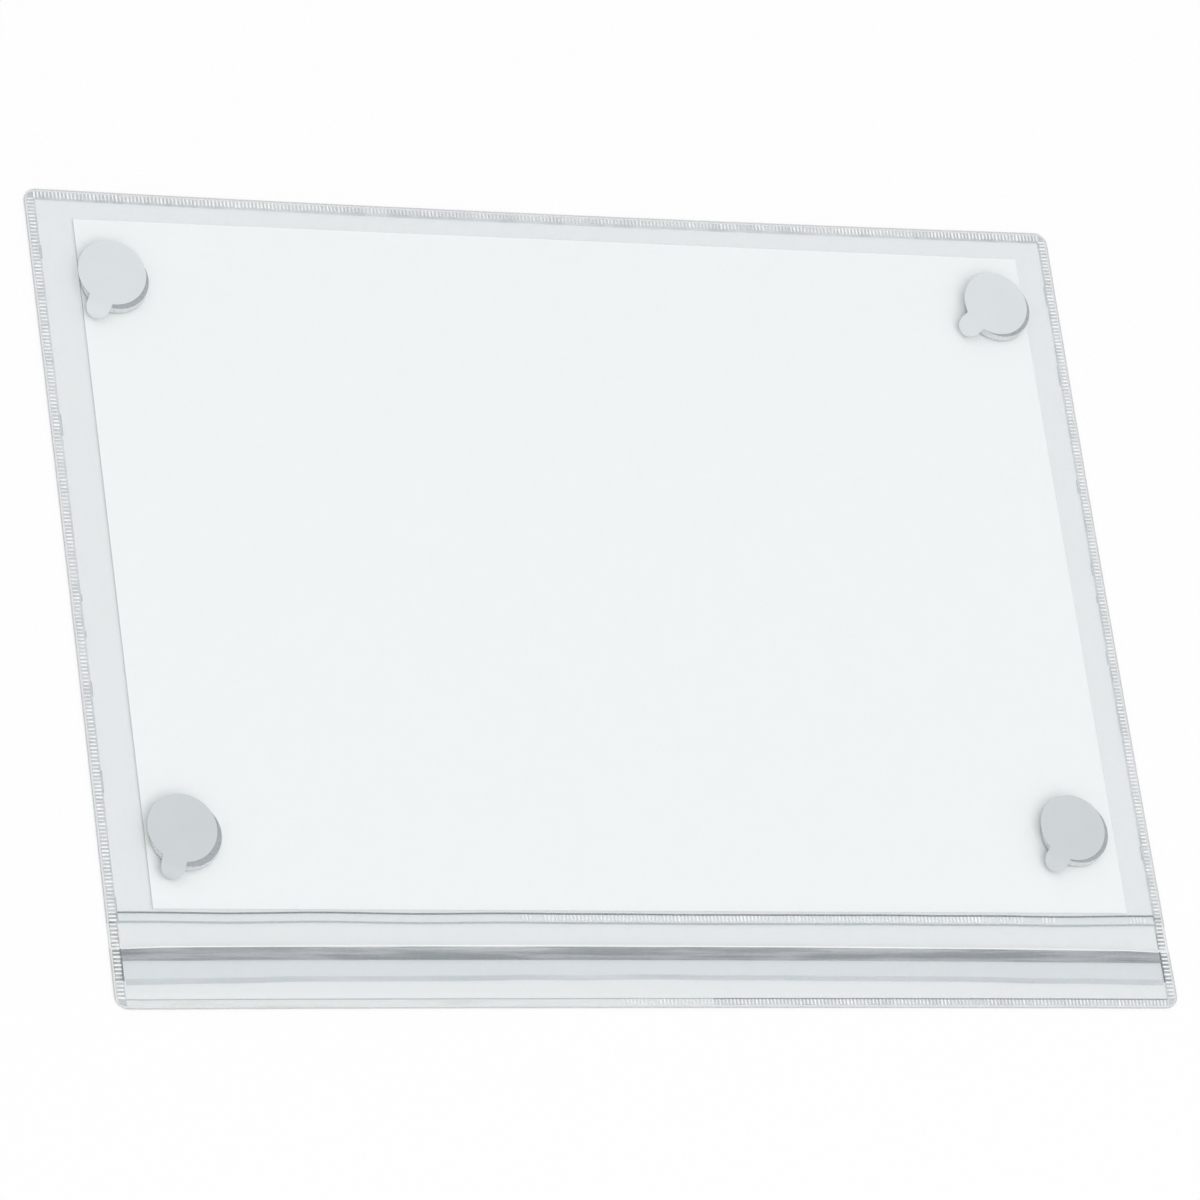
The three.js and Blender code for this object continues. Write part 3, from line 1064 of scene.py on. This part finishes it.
half = floor_size / 2
floor_mesh = bpy.data.meshes.new("floor")
floor_mesh.from_pydata([Vector((x, y, -floor_drop)) * MM for x, y in
                        ((-half, -half), (half, -half), (half, half), (-half, half))], [], [(0, 1, 2, 3)])
floor_mesh.materials.append(material)
floor = bpy.data.objects.new("floor", floor_mesh)
bpy.context.scene.collection.objects.link(floor)

# %% [markdown]
# Light
#
# A big softbox hangs over the closing edge, high up. It lights the near side of the foam,
# throws no shadow that we can see, and stays out of the film's mirror angle, so the film
# reflects only the even room. Room and softbox together light a flat surface at about
# level 1, so a colour comes out about as it is written.

# %% Light
room_level = 0.86
softbox_level = 0.17
softbox_place = Vector((0.3, -2.3, 4.2))
softbox_side = 3.8

world = bpy.data.worlds.new("room")
bpy.context.scene.world = world
world.use_nodes = True
world.node_tree.nodes.clear()
path = node(world.node_tree, "ShaderNodeLightPath")
seen = node(world.node_tree, "ShaderNodeMapRange", {"Value": path.outputs["Is Camera Ray"],
                                                    "To Min": room_level, "To Max": 1.0})
air = node(world.node_tree, "ShaderNodeBackground", {"Color": (1, 1, 1, 1), "Strength": seen.outputs[0]})
node(world.node_tree, "ShaderNodeOutputWorld", {"Surface": air.outputs[0]})

lamp_data = bpy.data.lights.new("softbox", "AREA")
lamp_data.shape = "SQUARE"
lamp_data.size = softbox_side
distance = softbox_place.length
slant = softbox_place.z / distance
lamp_data.energy = softbox_level * math.pi ** 2 * distance ** 2 / slant
lamp = bpy.data.objects.new("softbox", lamp_data)
lamp.location = softbox_place
lamp.rotation_mode = "QUATERNION"
lamp.rotation_quaternion = (-softbox_place).to_track_quat("-Z", "Y")
bpy.context.scene.collection.objects.link(lamp)
print(f"softbox {distance:.2f} m away, {lamp_data.energy:.1f} W")

# %% [markdown]
# Camera
#
# The picture was taken with a long lens from two metres away, from beyond the lower left
# corner, high up, and with the camera rolled over. The place was solved from the paper's
# four corners. It is written here as where the camera looks, from how far, at what
# angles, and how far it is rolled.

# %% Camera
look_at = Vector((-0.00129, 0.00046, 0.0))
camera_distance = 2.0413
camera_elevation = math.radians(57.87)
camera_azimuth = math.radians(-45.30)
camera_roll = math.radians(41.84)
camera_lens = 213.9

back_way = Vector((math.sin(camera_azimuth) * math.cos(camera_elevation),
                   -math.cos(camera_azimuth) * math.cos(camera_elevation),
                   math.sin(camera_elevation)))
camera_data = bpy.data.cameras.new("camera")
camera_data.lens = camera_lens
camera_data.sensor_width = 36
camera = bpy.data.objects.new("camera", camera_data)
bpy.context.scene.collection.objects.link(camera)
bpy.context.scene.camera = camera
upright = (-back_way).to_track_quat("-Z", "Y").to_matrix().to_4x4()
camera.matrix_world = (Matrix.Translation(look_at + back_way * camera_distance)
                       @ upright @ Matrix.Rotation(camera_roll, 4, "Z"))
print("camera at", [round(v, 4) for v in camera.matrix_world.translation])

# %% [markdown]
# Colour, and the end
#
# The plain Standard view shows colours as they are written. Light crosses up to four
# films and a rib on its way down and again on its way back up, so Cycles is allowed
# more see-through surfaces on one path than it starts with.

# %% View and see-through surfaces
bpy.context.scene.view_settings.view_transform = "Standard"
bpy.context.scene.cycles.transparent_max_bounces = 48
